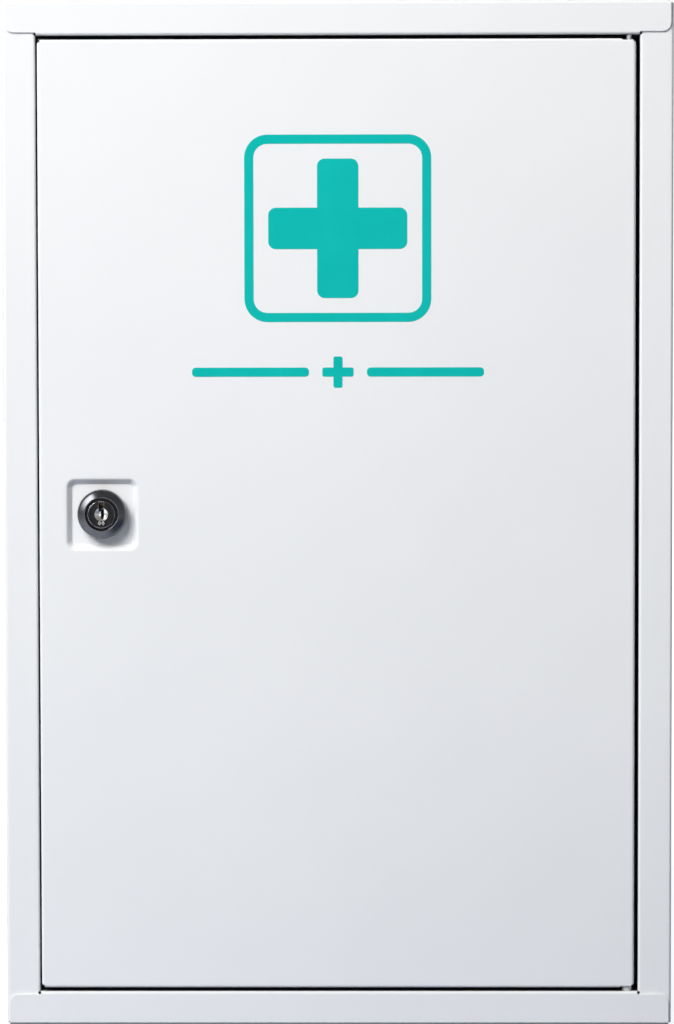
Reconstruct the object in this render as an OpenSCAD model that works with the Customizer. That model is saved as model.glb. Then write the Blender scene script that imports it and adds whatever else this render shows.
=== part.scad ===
// Lockable medicine cabinet: folded sheet-steel body, one swinging door with bottle trays,
// two shelves, and a wafer cam lock in a square pressed recess.
// Millimetres. X runs to the right, Y into the cabinet, Z up. The origin lies on the underside,
// in the middle of the body's width and depth, and the front plane faces -Y.

/* [Cabinet] */
// Outside width of the body
cabinet_w = 300; // [240:5:400]
// Outside height of the body
cabinet_h = 460; // [420:5:600]
// Outside depth of the body, from the front plane to the wall
cabinet_d = 140; // [120:5:200]

/* [Sheet metal] */
// Thickness of the steel sheet
sheet_t = 0.8; // [0.6:0.1:1.2]
// Inside radius of every fold
fold_r = 0.5; // [0.3:0.1:0.8]
// Width of the flanges that the back panel is welded to
rear_flange = 13; // [10:0.5:20]
// Width of the side panels' flanges under the caps
cap_flange = 10; // [6:0.5:16]

/* [Front frame] */
// Width of the frame lips around the opening
lip_w = 15; // [14:0.5:20]
// Depth of the returns that run back from the opening's edge
return_d = 15; // [13:0.5:18]
// Width of the hook legs behind the side lips
hook_w = 10; // [8:0.5:11]
// Corner radius of the cap lips
cap_corner_r = 4; // [1:0.5:6]
// Distance from the body's sides to the ends of the caps
cap_inset = 1.2; // [0.8:0.1:1.8]
// Diameter of the relief holes at the opening's corners
relief_d = 1.3; // [1:0.1:2]

/* [Door] */
// Gap between the door and the frame on the latch side
latch_gap = 0.7; // [0.6:0.1:1.5]
// Gap between the door and the frame on the hinge side
hinge_gap = 1.8; // [1.6:0.1:2.5]
// Gap above and below the door
end_gap = 1.8; // [1:0.1:2.5]
// Width of the return lips around the inside of the door
door_return = 8; // [7:0.5:10]
// Width of the diagonal cut at the door's corners
corner_cut_w = 1.5; // [1.4:0.1:1.8]
// Height of the diagonal cut at the door's corners
corner_cut_h = 2; // [1.6:0.1:2.4]

/* [Hinges] */
// Diameter of the hinge pins
pin_d = 3; // [2.6:0.1:3.2]
// Distance from the door's edge to the hinge axis
axis_in = 3; // [3:0.1:3.4]
// Distance from the front plane to the hinge axis
axis_back = 4; // [3.8:0.1:4.2]
// Thickness of the hinge plates
hinge_plate_t = 2; // [1.5:0.1:3]
// Length of the hinge plates along the door
hinge_plate_l = 20; // [16:1:30]
// Length of pin that stands below the door's hinge plate
pin_end = 4; // [2:0.5:8]
// Diameter of the collar that carries the door
hinge_collar_d = 4.4; // [4.2:0.1:4.8]
// Width of the notches in the door's top and bottom flanges at the hinges
hinge_notch_w = 6.3; // [6:0.1:8]
// Depth of the notches in the door's face at the hinges
hinge_notch_h = 0.65; // [0.5:0.05:0.75]

/* [Door stops] */
// Thickness of the stop tabs
stop_t = 1.2; // [1:0.1:2]
// Height of the stop tabs
stop_h = 16; // [12:1:24]
// Diameter of the rubber bumpers
bumper_d = 7; // [5:0.5:7]
// Thickness of the rubber bumpers
bumper_t = 1.5; // [1:0.1:2.5]
// Distance of the stop tabs from the top and bottom of the body
stop_inset = 120; // [90:5:140]

/* [Shelves] */
// Height of the lower shelf's top face
lower_shelf_z = 160; // [120:5:190]
// Height of the upper shelf's top face
upper_shelf_z = 300; // [240:5:340]
// Height of the lips at the shelf's front and rear edges
shelf_lip = 10; // [6:0.5:16]
// Gap from the shelf's front edge to the door trays behind the closed door
shelf_gap = 11; // [6:0.5:20]
// Leg width of the shelf brackets
bracket_leg = 14; // [10:1:20]
// Thickness of the shelf brackets
bracket_t = 1; // [0.8:0.1:1.5]

/* [Door trays] */
// Width of the door trays
tray_w = 236; // [160:2:240]
// Depth of the door trays
tray_d = 50; // [30:1:60]
// Height of the door trays' front wall
tray_h = 34; // [24:1:40]
// Height of the tray flange that is welded to the door
tray_back_h = 22; // [14:1:30]
// Width of the hem along the tray's front wall
tray_hem = 5; // [3:0.5:8]
// Height of the lower tray above the door's bottom edge
lower_tray_rise = 14; // [11:1:20]
// Height of the upper tray above the lock's axis
upper_tray_rise = 60; // [34:1:90]
// Room between the middle tray and the hanging cam
tray_cam_gap = 10; // [4:1:20]

/* [Lock recess] */
// Distance from the door's latch edge to the lock's axis
lock_in = 28.3; // [27:0.1:40]
// Height of the lock's axis above the middle of the body
lock_rise = 1.2; // [-20:0.1:20]
// Width and height of the pressed recess where it meets the door's face
recess_w = 32; // [31:0.1:36]
// Depth of the pressed recess
recess_depth = 2.4; // [2:0.1:4]
// Distance from the middle of the recess up to the lock's axis
recess_drop = 0.3; // [0:0.1:0.8]
// Corner radius of the recess floor
recess_corner_r = 1.7; // [1.4:0.1:3]
// Radius of the fold where the door's face turns into the recess
recess_edge_r = 1.6; // [0.9:0.1:1.8]

/* [Lock housing] */
// Diameter of the domed head
head_d = 22; // [20:0.5:24]
// Height of the domed head
head_h = 7.2; // [6:0.1:7.4]
// Radius of the head's domed front
dome_r = 20; // [18:1:24]
// Radius of the roll between the head's front and its rim
roll_r = 2; // [1.4:0.1:2.4]
// Radius of the lip round the head's mouth
lip_r = 0.5; // [0.3:0.1:0.7]
// Diameter of the head's mouth
mouth_d = 14.2; // [13.8:0.1:14.6]
// Depth of the head's mouth
mouth_depth = 2.6; // [2:0.1:4]
// Diameter of the barrel
barrel_d = 18.8; // [17.6:0.1:19]
// Width across the barrel's flats
barrel_flats = 16; // [15:0.1:17]
// Length of the barrel behind the recess floor
barrel_l = 16; // [14:0.5:18]
// Width across the flats of the hexagonal nut
nut_af = 24; // [22:0.5:26]
// Thickness of the nut
nut_t = 3; // [2:0.1:5]
// Thickness of the lock washer
lock_washer_t = 0.8; // [0.5:0.1:1.2]

/* [Lock plug] */
// Diameter of the plug's face
face_d = 12.8; // [12.4:0.1:13.2]
// Height that the plug's face stands above the head
face_rise = 0.8; // [0.2:0.1:1.5]
// Width of the bright bevel round the plug's face
face_bevel = 0.4; // [0.2:0.1:0.6]
// Diameter of the plug's body
plug_d = 12; // [11:0.1:12]
// Diameter of the dimple in the plug's face
dimple_d = 5.9; // [4:0.1:7]
// Depth of the dimple in the plug's face
dimple_depth = 1.1; // [0.6:0.1:1.6]
// Width of the keyway's upper part
key_wide = 2.4; // [1.6:0.1:2.6]
// Width of the keyway's lower part
key_narrow = 1.4; // [0.8:0.1:1.5]
// Depth of the keyway behind the plug's face
key_depth = 17; // [12:0.5:17]
// Number of wafer tumblers
wafer_count = 5; // [3:1:5]
// Thickness of a wafer
wafer_t = 1; // [0.8:0.1:1.2]
// Distance between wafers
wafer_pitch = 2.1; // [1.8:0.1:2.1]
// Width of a wafer
wafer_w = 7.4; // [6:0.1:8]
// Width across the flats of the plug's square tail
tail_w = 7; // [6:0.1:7.4]

/* [Cam] */
// Thickness of the cam
cam_t = 2; // [1.5:0.1:2.5]
// Width of the cam's arm
cam_w = 13; // [10:0.5:15]
// Diameter of the cam's round root
cam_root_d = 16; // [14:0.5:18]
// Overlap of the locked cam behind the frame's hook leg
cam_reach = 8.4; // [5:0.1:9]
// Diameter of the cam screw's shank
screw_d = 5; // [4:0.1:5]
// Diameter of the cam screw's head
screw_head_d = 9; // [8:0.5:11]
// Height of the cam screw's head
screw_head_h = 2.6; // [2:0.1:3.5]
// Thickness of the washer under the cam screw
cam_washer_t = 0.8; // [0.5:0.1:1.2]

/* [Wall mounting] */
// Diameter of the wall holes in the back panel
wall_hole_d = 7; // [5:0.5:9]
// Spacing of the wall holes across the width
wall_span_x = 200; // [120:5:205]
// Spacing of the wall holes over the height
wall_span_z = 360; // [240:5:380]

/* [Hidden] */
$fn = 64;
cut = 1; // how far a cutting shape runs past the face it opens
contact_gap = 0.3; // between pieces of different bodies that nearly touch
slip = 0.05; // between pieces of one body that slide together
running = 0.06; // radial clearance of a turning fit
axial_play = 0.1; // end clearance of a turning fit
fit_play = 0.2; // between a shelf and the flanges behind it
hole_play = 0.15; // round the lock's barrel in the recess floor

white = [0.93, 0.94, 0.95];
zinc = [0.72, 0.73, 0.75];
black_nickel = [0.2, 0.2, 0.21];
nylon = [0.9, 0.9, 0.88];
rubber = [0.12, 0.12, 0.12];
brass = [0.78, 0.62, 0.3];

half_w = cabinet_w / 2;
cap_half_w = half_w - cap_inset;
front_y = -cabinet_d / 2;
back_y = cabinet_d / 2;
mid_t = sheet_t / 2;
bend_r = fold_r + sheet_t; // outside radius of a fold
inner_front_y = front_y + sheet_t; // rear face of the cap lips and of the door's face
inner_back_y = back_y - sheet_t; // front face of the back panel
open_x = half_w - lip_w;
open_z0 = lip_w;
open_z1 = cabinet_h - lip_w;
hook_rear_y = inner_front_y + return_d; // rear face of the hook legs
stop_y = hook_rear_y; // front face of the stop tabs

door_x0 = -open_x + latch_gap;
door_x1 = open_x - hinge_gap;
door_z0 = open_z0 + end_gap;
door_z1 = open_z1 - end_gap;
door_mid_x = (door_x0 + door_x1) / 2;
door_back_y = stop_y - bumper_t - contact_gap; // rear face of the door's return lips

axis_x = door_x1 - axis_in;
axis_y = front_y + axis_back;
pin_r = pin_d / 2;
pin_head_h = 1.6;
pin_head_r = pin_r + 1.1;
pin_chamfer = 0.5;
plate_front_y = front_y + bend_r; // hinge plates start behind the inside of a fold
frame_plate_z = open_z1 + sheet_t;
door_plate_z = door_z1 - sheet_t - hinge_plate_t;

lock_x = door_x0 + lock_in;
lock_z = cabinet_h / 2 + lock_rise;
head_r = head_d / 2;
mouth_r = mouth_d / 2;
mouth_floor = head_h - mouth_depth;
lip_at = [mouth_r + lip_r, head_h - lip_r]; // middle of the lip's curve, in (radius, height)
dome_z = lip_at[1] - sqrt(pow(dome_r - lip_r, 2) - pow(lip_at[0], 2));
roll_x = head_r - roll_r;
rim_h = dome_z + sqrt(pow(dome_r - roll_r, 2) - pow(roll_x, 2));
barrel_r = barrel_d / 2;
plug_r = plug_d / 2;
face_r = face_d / 2;
face_z = head_h + face_rise;
shoulder_z = -barrel_l - axial_play; // where the plug's body ends and the cam sits
cam_back_z = shoulder_z - cam_t;
cam_tip_z = -(hook_rear_y + contact_gap - front_y - recess_depth);
cam_l = lock_x + open_x + cam_reach;
crank_start = cam_root_d / 2 + 4;
crank_run = 1.3 * (cam_tip_z - shoulder_z);
washer_bore_r = screw_d / 2 + slip;

tray_back_y = inner_front_y + tray_d;
lower_tray_z = door_z0 + lower_tray_rise;
middle_tray_z = lock_z - cam_l - tray_cam_gap - tray_h;
upper_tray_z = lock_z + upper_tray_rise;
shelf_front_y = tray_back_y + shelf_gap;
shelf_back_y = inner_back_y - sheet_t - fit_play;
shelf_half_w = half_w - 2 * sheet_t;

// ---------- Placing and folding ----------

// Extrudes an (x, y) profile from z0 to z1
module along_z(z0, z1) {
    translate([0, 0, z0]) linear_extrude(z1 - z0) children();
}

// Extrudes a (y, z) profile from x0 to x1
module along_x(x0, x1) {
    translate([x0, 0, 0]) rotate([90, 0, 90]) linear_extrude(x1 - x0) children();
}

// Extrudes an (x, z) profile from y0 to y1
module along_y(y0, y1) {
    translate([0, y1, 0]) rotate([90, 0, 0]) linear_extrude(y1 - y0) children();
}

// Draws its children on the right and again mirrored on the left
module both_sides() {
    children();
    mirror([1, 0, 0]) children();
}

// Turns its children over about the middle of the body's height
module upside_down() {
    translate([0, 0, cabinet_h]) mirror([0, 0, 1]) children();
}

// One straight leg of a strip, as wide as the sheet is thick
module strip_leg(from, to, t) {
    run = [abs(to[0] - from[0]), abs(to[1] - from[1])];
    across = run[0] > run[1] ? [0, t] : [t, 0];
    translate([min(from[0], to[0]), min(from[1], to[1])] - across / 2) square(run + across);
}

// One quarter-round fold of a strip
module strip_bend(corner, dir_in, dir_out, t, bend) {
    outer = bend + t;
    facing = dir_in - dir_out;
    translate(corner - (bend + t / 2) * facing) intersection() {
        difference() {
            circle(outer);
            circle(bend);
        }
        translate([min(0, facing[0]), min(0, facing[1])] * outer) square(outer);
    }
}

// Cross-section of folded sheet along a right-angled path, given by its mid-line corners
module fold_profile(path, t = sheet_t, bend = fold_r) {
    last = len(path) - 1;
    trim = bend + t / 2;
    dirs = [for (i = [0 : last - 1]) (path[i + 1] - path[i]) / norm(path[i + 1] - path[i])];
    for (i = [0 : last - 1])
        strip_leg(
            path[i] + (i > 0 ? trim : 0) * dirs[i],
            path[i + 1] - (i < last - 1 ? trim : 0) * dirs[i],
            t
        );
    for (i = [1 : last - 1]) strip_bend(path[i], dirs[i - 1], dirs[i], t, bend);
}

// Rectangle with round corners, from the origin
module rounded_rect(size, r) {
    translate([0, r]) square([size[0], size[1] - 2 * r]);
    translate([r, 0]) square([size[0] - 2 * r, size[1]]);
    for (x = [r, size[0] - r], y = [r, size[1] - r]) translate([x, y]) circle(r);
}

// The corner that a round of radius r cuts away, at the origin and opening up and right
module corner_waste(r) {
    difference() {
        translate([-cut, -cut]) square(r + cut);
        translate([r, r]) circle(r);
    }
}

// ---------- Body ----------

// Relief holes through both lips at the upper corners of the opening
module upper_reliefs() {
    both_sides() translate([open_x + relief_d / 4, 0, open_z1 + bend_r / 2])
        along_y(front_y - cut, inner_front_y + sheet_t + cut) circle(relief_d / 2);
}

// What is cut from one end of the upper cap so that it clears the side panel
module cap_end_cuts() {
    lip_z = open_z1 + bend_r;
    flange_x = half_w - rear_flange - contact_gap;
    translate([open_x, front_y - cut, open_z1 - cut])
        cube([lip_w + cut, return_d + 2 * cut, bend_r + cut]);
    along_y(front_y - cut, inner_front_y) translate([cap_half_w, lip_z]) mirror([1, 0])
        corner_waste(cap_corner_r);
    translate([flange_x, inner_back_y - bend_r - cut, cabinet_h - rear_flange - cut])
        cube([rear_flange + 2 * cut, bend_r + 2 * cut, rear_flange + cut - sheet_t]);
}

// Upper cap: lip, top, return with the pin hole, and rear flange
module cap() {
    difference() {
        along_x(-cap_half_w, cap_half_w) fold_profile([
            [front_y + return_d, open_z1 + mid_t],
            [front_y + mid_t, open_z1 + mid_t],
            [front_y + mid_t, cabinet_h - mid_t],
            [inner_back_y - mid_t, cabinet_h - mid_t],
            [inner_back_y - mid_t, cabinet_h - rear_flange]
        ]);
        both_sides() cap_end_cuts();
        upper_reliefs();
        translate([axis_x, axis_y, open_z1 - cut]) cylinder(h = sheet_t + 2 * cut, r = pin_r + slip);
    }
}

module top_panel() {
    color(white) cap();
}

module bottom_panel() {
    color(white) upside_down() cap();
}

// Right-hand side panel: hook leg, return, lip, wall and rear flange, with flanges for the caps
module side_panel() {
    top_z = cabinet_h - sheet_t;
    lip_y = inner_front_y + mid_t;
    flange_y0 = hook_rear_y + bend_r;
    flange_y1 = inner_back_y - bend_r - cap_flange;
    difference() {
        union() {
            along_z(sheet_t, top_z) fold_profile([
                [open_x + hook_w, hook_rear_y - mid_t],
                [open_x + mid_t, hook_rear_y - mid_t],
                [open_x + mid_t, lip_y],
                [half_w - mid_t, lip_y],
                [half_w - mid_t, inner_back_y - mid_t],
                [half_w - rear_flange, inner_back_y - mid_t]
            ]);
            along_y(flange_y0, flange_y1) fold_profile([
                [half_w - cap_flange, sheet_t + mid_t],
                [half_w - mid_t, sheet_t + mid_t],
                [half_w - mid_t, top_z - mid_t],
                [half_w - cap_flange, top_z - mid_t]
            ]);
        }
        for (z = [0, cabinet_h - bend_r])
            translate([open_x - cut, front_y - cut, z]) cube([lip_w + 2 * cut, bend_r + cut, bend_r]);
        upper_reliefs();
        upside_down() upper_reliefs();
    }
}

module left_side_panel() {
    color(white) mirror([1, 0, 0]) side_panel();
}

module right_side_panel() {
    color(white) side_panel();
}

module back_panel() {
    inset = 0.6;
    color(white) along_y(inner_back_y, back_y) difference() {
        translate([inset - half_w, inset])
            rounded_rect([cabinet_w - 2 * inset, cabinet_h - 2 * inset], bend_r);
        for (x = [-1, 1], z = [-1, 1])
            translate([x * wall_span_x / 2, cabinet_h / 2 + z * wall_span_z / 2])
                circle(wall_hole_d / 2);
    }
}

// ---------- Shelves ----------

// Shelf with its front lip folded down and its rear lip folded up
module shelf(top_z) {
    color(white) along_x(-shelf_half_w, shelf_half_w) fold_profile([
        [shelf_front_y + mid_t, top_z - shelf_lip],
        [shelf_front_y + mid_t, top_z - mid_t],
        [shelf_back_y - mid_t, top_z - mid_t],
        [shelf_back_y - mid_t, top_z + shelf_lip]
    ]);
}

// Angle bracket on the right-hand wall, under a shelf
module shelf_bracket(top_z) {
    seat_z = top_z - sheet_t;
    wall_x = half_w - sheet_t;
    half_t = bracket_t / 2;
    margin = 4;
    color(zinc) along_y(shelf_front_y + sheet_t + margin, shelf_back_y - margin) fold_profile([
        [wall_x - half_t, seat_z - bracket_leg],
        [wall_x - half_t, seat_z - half_t],
        [wall_x - bracket_leg, seat_z - half_t]
    ], bracket_t);
}

module upper_shelf() {
    shelf(upper_shelf_z);
}

module lower_shelf() {
    shelf(lower_shelf_z);
}

module upper_left_shelf_bracket() {
    mirror([1, 0, 0]) shelf_bracket(upper_shelf_z);
}

module upper_right_shelf_bracket() {
    shelf_bracket(upper_shelf_z);
}

module lower_left_shelf_bracket() {
    mirror([1, 0, 0]) shelf_bracket(lower_shelf_z);
}

module lower_right_shelf_bracket() {
    shelf_bracket(lower_shelf_z);
}

// ---------- Hinges ----------

// Plate with a hole on the hinge axis, from z0 up
module hinge_plate(end_x, back, z0, hole_r) {
    plate_r = 1;
    color(zinc) along_z(z0, z0 + hinge_plate_t) difference() {
        translate([end_x - hinge_plate_l, plate_front_y])
            rounded_rect([hinge_plate_l, back - plate_front_y], plate_r);
        translate([axis_x, axis_y]) circle(hole_r);
    }
}

module upper_frame_hinge_plate() {
    hinge_plate(open_x, front_y + return_d, frame_plate_z, pin_r + slip);
}

module lower_frame_hinge_plate() {
    upside_down() upper_frame_hinge_plate();
}

module upper_door_hinge_plate() {
    back = door_back_y - bend_r - axial_play;
    hinge_plate(door_x1 - sheet_t, back, door_plate_z, pin_r + running);
}

module lower_door_hinge_plate() {
    upside_down() upper_door_hinge_plate();
}

// Headed pin that drops through the frame plate into the door
module upper_hinge_pin() {
    head_z = frame_plate_z + hinge_plate_t;
    end_z = door_plate_z - pin_end;
    color(zinc) translate([axis_x, axis_y, 0]) {
        translate([0, 0, head_z]) cylinder(h = pin_head_h, r = pin_head_r);
        translate([0, 0, end_z + pin_chamfer]) cylinder(h = head_z - end_z - pin_chamfer, r = pin_r);
        translate([0, 0, end_z]) cylinder(h = pin_chamfer, r1 = pin_r - pin_chamfer, r2 = pin_r);
    }
}

module lower_hinge_pin() {
    upside_down() upper_hinge_pin();
}

// Collar on the lower pin, between the frame and the door's hinge plate
module hinge_collar() {
    top_z = door_z0 + sheet_t - axial_play;
    color(nylon) translate([axis_x, axis_y, 0]) along_z(open_z0, top_z) difference() {
        circle(hinge_collar_d / 2);
        circle(pin_r + slip);
    }
}

// ---------- Door stops ----------

bumper_x = door_x0 + door_return / 2;

module upper_door_stop() {
    tab_x0 = -open_x - hook_w;
    tab_x1 = bumper_x + bumper_d / 2 + 1;
    tab_r = 3;
    color(zinc) along_y(stop_y, stop_y + stop_t)
        translate([tab_x0, cabinet_h - stop_inset - stop_h / 2])
            rounded_rect([tab_x1 - tab_x0, stop_h], tab_r);
}

module lower_door_stop() {
    upside_down() upper_door_stop();
}

module upper_stop_bumper() {
    bumper_edge = 0.4;
    color(rubber) translate([bumper_x, stop_y, cabinet_h - stop_inset]) rotate([90, 0, 0]) {
        cylinder(h = bumper_t - bumper_edge, d = bumper_d);
        translate([0, 0, bumper_t - bumper_edge])
            cylinder(h = bumper_edge, d1 = bumper_d, d2 = bumper_d - 2 * bumper_edge);
    }
}

module lower_stop_bumper() {
    upside_down() upper_stop_bumper();
}

// ---------- Door ----------

// Half outline of a pocket in (radius, depth), with 45 degree walls.
// edge_r rounds its brim, floor_r rounds the foot of its wall, and it starts lead above the face.
module pocket_outline(top_r, depth, edge_r, floor_r, lead) {
    k = tan(22.5);
    diag = sqrt(0.5);
    floor_w = top_r - depth;
    difference() {
        polygon([
            [0, -lead],
            [top_r + k * edge_r, -lead],
            [top_r + k * edge_r, 0],
            [top_r - k * edge_r * diag, k * edge_r * diag],
            [floor_w, depth],
            [0, depth]
        ]);
        if (edge_r > 0) translate([top_r + k * edge_r, edge_r]) circle(edge_r);
        difference() {
            polygon([
                [floor_w - k * floor_r, depth],
                [floor_w + k * floor_r * diag, depth - k * floor_r * diag],
                [floor_w + cut, depth - k * floor_r * diag],
                [floor_w + cut, depth + cut],
                [floor_w - k * floor_r, depth + cut]
            ]);
            translate([floor_w - k * floor_r, depth - floor_r]) circle(floor_r);
        }
    }
}

// Sweeps a pocket outline round a square whose corner axes lie at +-half
module square_pocket(half, depth, lead) {
    for (x = [-1, 1], y = [-1, 1]) translate([x * half, y * half, 0]) rotate_extrude() children();
    for (turn = [0 : 90 : 270]) rotate(turn) translate([half, 0, 0]) rotate([90, 0, 0])
        linear_extrude(2 * half, center = true) children();
    translate([-half, -half, -lead]) cube([2 * half, 2 * half, depth + lead]);
}

recess_floor_half = recess_w / 2 - recess_depth;
recess_axis_half = recess_floor_half - recess_corner_r;
recess_top_r = recess_w / 2 - recess_axis_half;
recess_foot_r = 0.6;

// Places its children on the door's face at the recess, with their z running inwards
module at_recess() {
    translate([lock_x, front_y, lock_z - recess_drop]) rotate([-90, 0, 0]) children();
}

module recess_hollow() {
    at_recess() square_pocket(recess_axis_half, recess_depth, cut)
        pocket_outline(recess_top_r, recess_depth, recess_edge_r, recess_foot_r, cut);
}

module recess_shell() {
    shell_depth = recess_depth + sheet_t;
    at_recess() square_pocket(recess_axis_half, shell_depth, 0)
        pocket_outline(recess_top_r + sqrt(2) * sheet_t, shell_depth, 0, recess_foot_r + sheet_t, 0);
}

// Round outline with two flats, which keeps the lock from turning
module double_d(r, flats) {
    intersection() {
        circle(r);
        square([flats, 2 * r + cut], center = true);
    }
}

module door_pan() {
    rear_y = door_back_y - mid_t;
    face_y = front_y + mid_t;
    along_z(door_z0 + bend_r, door_z1 - bend_r) fold_profile([
        [door_x0 + door_return, rear_y],
        [door_x0 + mid_t, rear_y],
        [door_x0 + mid_t, face_y],
        [door_x1 - mid_t, face_y],
        [door_x1 - mid_t, rear_y],
        [door_x1 - door_return, rear_y]
    ]);
    along_x(door_x0 + bend_r, door_x1 - bend_r) fold_profile([
        [rear_y, door_z0 + door_return],
        [rear_y, door_z0 + mid_t],
        [face_y, door_z0 + mid_t],
        [face_y, door_z1 - mid_t],
        [rear_y, door_z1 - mid_t],
        [rear_y, door_z1 - door_return]
    ]);
}

// Diagonal cut beside the open corner between two of the door's folds
module corner_cut() {
    slope = [corner_cut_w, -corner_cut_h];
    start = [door_x1 - corner_cut_w, door_z1];
    along_y(front_y - cut, door_back_y + cut) polygon([
        start - slope,
        start + 2 * slope,
        [door_x1 + 2 * corner_cut_w, door_z1 + corner_cut_h]
    ]);
}

// Notch that clears the pin at one end of the door's hinge edge
module hinge_notch() {
    notch_back = axis_y + 4;
    x0 = door_x1 - hinge_notch_w;
    translate([x0, front_y - cut, door_z1 - hinge_notch_h])
        cube([hinge_notch_w + cut, notch_back - front_y + cut, hinge_notch_h + cut]);
    translate([x0, inner_front_y, door_z1 - bend_r])
        cube([hinge_notch_w + cut, notch_back - inner_front_y, bend_r + cut]);
}

// Draws its children at all four corners of the door, given the upper right one
module door_corners() {
    children();
    upside_down() children();
    translate([2 * door_mid_x, 0, 0]) mirror([1, 0, 0]) {
        children();
        upside_down() children();
    }
}

module door_panel() {
    color(white) difference() {
        union() {
            door_pan();
            recess_shell();
        }
        recess_hollow();
        door_corners() corner_cut();
        hinge_notch();
        upside_down() hinge_notch();
        at_lock() along_z(-sheet_t - cut, cut)
            double_d(barrel_r + hole_play, barrel_flats + 2 * hole_play);
    }
}

// Bottle tray welded to the inside of the door's face
module door_tray(floor_z) {
    x0 = door_mid_x - tray_w / 2;
    x1 = door_mid_x + tray_w / 2;
    color(white) {
        along_x(x0, x1) fold_profile([
            [inner_front_y + mid_t, floor_z + tray_back_h],
            [inner_front_y + mid_t, floor_z + mid_t],
            [tray_back_y - mid_t, floor_z + mid_t],
            [tray_back_y - mid_t, floor_z + tray_h - mid_t],
            [tray_back_y - tray_hem, floor_z + tray_h - mid_t]
        ]);
        for (x = [x0, x1 - sheet_t]) along_x(x, x + sheet_t) translate([inner_front_y, floor_z])
            rounded_rect([tray_d, tray_h], bend_r);
    }
}

module upper_door_tray() {
    door_tray(upper_tray_z);
}

module middle_door_tray() {
    door_tray(middle_tray_z);
}

module lower_door_tray() {
    door_tray(lower_tray_z);
}

// ---------- Lock ----------

// Places its children on the recess floor at the lock, with their z running outwards
module at_lock() {
    translate([lock_x, front_y + recess_depth, lock_z]) rotate([90, 0, 0]) children();
}

// Half outline of the head in (radius, height): straight rim, roll, shallow dome and mouth lip
module head_outline() {
    dome_middle = [0, dome_z];
    to_roll = ([roll_x, rim_h] - dome_middle) / (dome_r - roll_r);
    to_lip = (lip_at - dome_middle) / (dome_r - lip_r);
    difference() {
        union() {
            square([head_r, rim_h]);
            intersection() {
                translate([roll_x, rim_h]) circle(roll_r);
                translate([roll_x, rim_h]) square(roll_r);
            }
            intersection() {
                translate(dome_middle) circle(dome_r);
                polygon([
                    [0, 0],
                    [roll_x, 0],
                    [roll_x, rim_h],
                    [roll_x, rim_h] + 2 * roll_r * to_roll,
                    [0, 2 * head_h]
                ]);
            }
        }
        difference() {
            polygon([[0, lip_at[1]], lip_at, lip_at + 2 * lip_r * to_lip, [0, 2 * head_h]]);
            translate(lip_at) circle(lip_r);
        }
        translate([0, mouth_floor]) square([mouth_r, head_h]);
    }
}

module lock_housing() {
    color(black_nickel) at_lock() difference() {
        union() {
            rotate_extrude() head_outline();
            along_z(-barrel_l, 0) double_d(barrel_r, barrel_flats);
        }
        along_z(-barrel_l - cut, head_h) circle(plug_r + running);
    }
}

module lock_washer() {
    color(zinc) at_lock() along_z(-sheet_t - lock_washer_t, -sheet_t) difference() {
        circle(nut_af / 2);
        circle(barrel_r + slip);
    }
}

module lock_nut() {
    nut_z = -sheet_t - lock_washer_t;
    color(zinc) at_lock() along_z(nut_z - nut_t, nut_z) difference() {
        circle(d = nut_af / cos(30), $fn = 6);
        circle(barrel_r + slip);
    }
}

// Height along the lock's axis of the outer face of wafer i
function wafer_z(i) = mouth_floor - 1.2 - i * wafer_pitch;

module wafer_outline(play) {
    intersection() {
        circle(plug_r - slip + play);
        square([wafer_w + 2 * play, plug_d + cut], center = true);
    }
}

// Keyway: a wide part that reaches the plug's rim and a narrow part below it
module keyway() {
    side_x = key_wide / 2;
    rim_gap = 0.8;
    step_y = 1.3;
    foot_y = -1.9;
    translate([-side_x, step_y]) square([key_wide, face_r - rim_gap - step_y]);
    translate([side_x - key_narrow, foot_y]) square([key_narrow, step_y - foot_y + slip]);
}

module tail(play) {
    intersection() {
        circle(0.65 * tail_w + play);
        square(tail_w + 2 * play, center = true);
    }
}

module lock_plug() {
    dimple_r = (dimple_d * dimple_d / 4 + dimple_depth * dimple_depth) / (2 * dimple_depth);
    screw_depth = 8;
    color(black_nickel) at_lock() difference() {
        union() {
            along_z(mouth_floor + axial_play, face_z - face_bevel) circle(face_r);
            translate([0, 0, face_z - face_bevel])
                cylinder(h = face_bevel, r1 = face_r, r2 = face_r - face_bevel);
            along_z(shoulder_z, face_z - cut) circle(plug_r);
            along_z(cam_back_z + slip, shoulder_z) tail(0);
        }
        translate([0, 0, face_z - dimple_depth + dimple_r]) sphere(dimple_r);
        along_z(face_z - key_depth, face_z + cut) keyway();
        for (i = [0 : wafer_count - 1])
            along_z(wafer_z(i) - wafer_t - slip, wafer_z(i) + slip) wafer_outline(2 * slip);
        along_z(cam_back_z - cut, shoulder_z + screw_depth) circle(screw_d / 2 + slip);
    }
}

// Wafers lie level with the plug's body, as they do round a matching key
module lock_wafers() {
    window_w = key_wide + 0.4;
    window_y = -2.3;
    window_h = 6.2;
    step = 0.5; // difference between neighbouring cuts
    color(brass) at_lock() for (i = [0 : wafer_count - 1])
        along_z(wafer_z(i) - wafer_t, wafer_z(i)) difference() {
            wafer_outline(0);
            translate([-window_w / 2, window_y]) square([window_w, window_h - step * (i % 3)]);
        }
}

// Side view of the cam in (height, depth): root, crank and tip
module cam_side() {
    top = cam_root_d / 2;
    bend_shift = cam_t / 3;
    polygon([
        [top, shoulder_z],
        [-crank_start, shoulder_z],
        [-crank_start - crank_run, cam_tip_z],
        [-cam_l, cam_tip_z],
        [-cam_l, cam_tip_z - cam_t],
        [-crank_start - crank_run - bend_shift, cam_tip_z - cam_t],
        [-crank_start - bend_shift, cam_back_z],
        [top, cam_back_z]
    ]);
}

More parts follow.
